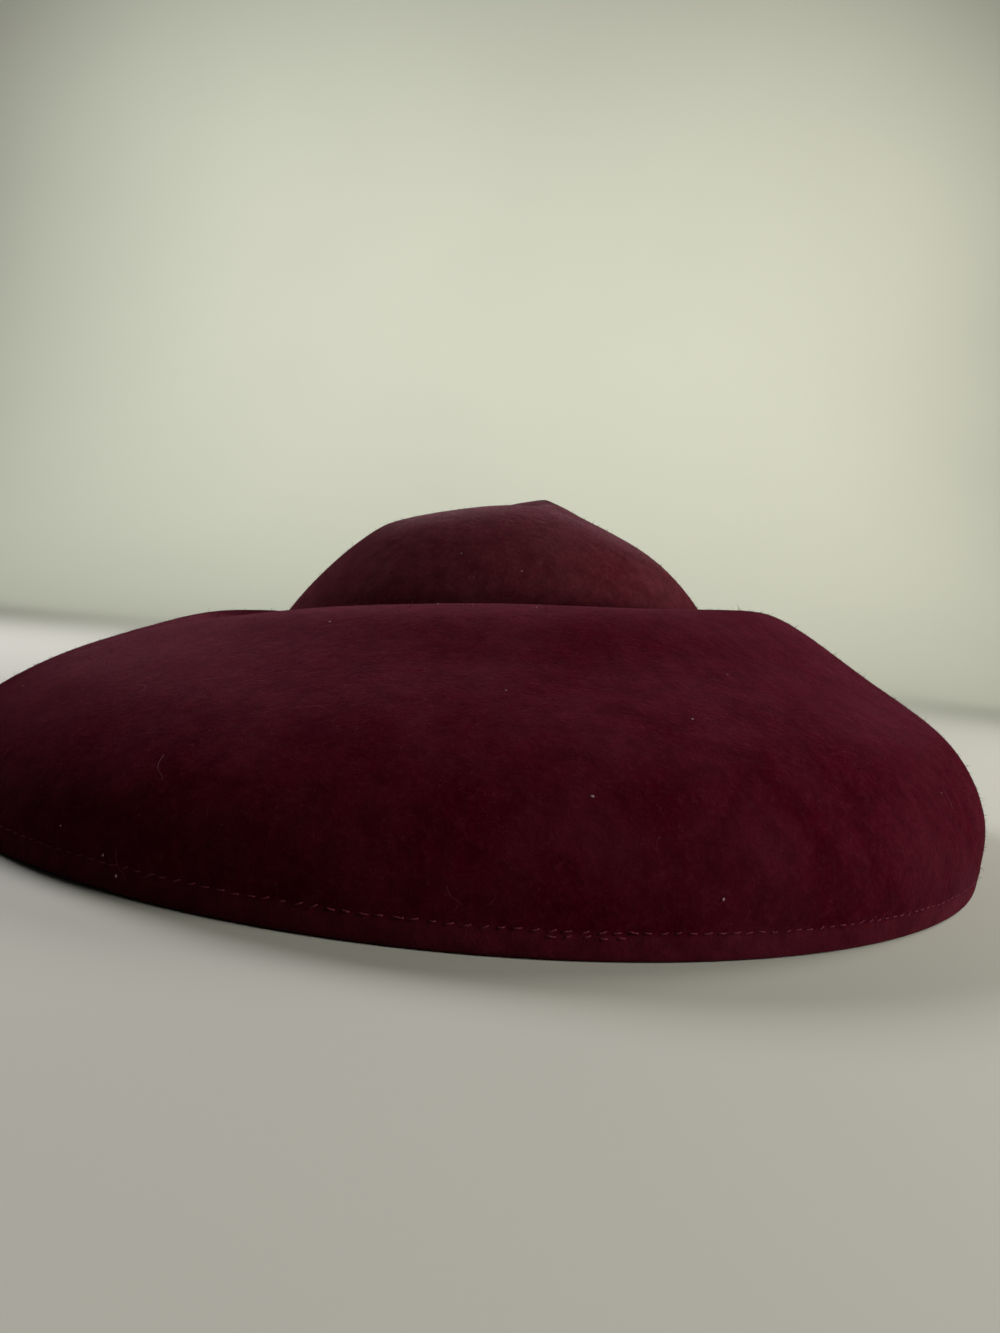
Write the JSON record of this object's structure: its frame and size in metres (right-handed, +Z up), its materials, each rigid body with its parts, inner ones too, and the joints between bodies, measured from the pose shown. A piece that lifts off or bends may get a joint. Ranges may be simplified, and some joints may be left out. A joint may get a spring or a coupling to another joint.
{
  "type": "felt hat",
  "caption": "Wide felt hat: a low leaning crown with a dished, pinched tip, sewn over the collar of a deep downturned brim with a turned and stitched edge.",
  "frame": {"origin": "middle of the brim's outline, on the surface that its turned edge rests on", "axes": "+Z up out of the crown's tip, -Y towards the wearer's front, +X towards the wearer's left"},
  "size_m": [0.46, 0.4237, 0.1354],
  "materials": {
    "crown_felt": "blocked fur felt, wine red, matt with a short brushed nap",
    "brim_felt": "blocked fur felt, wine red, matt with a short brushed nap"
  },
  "bodies": {
    "root": {"crown": "crown_felt", "brim": "brim_felt"}
  },
  "joints": []
}
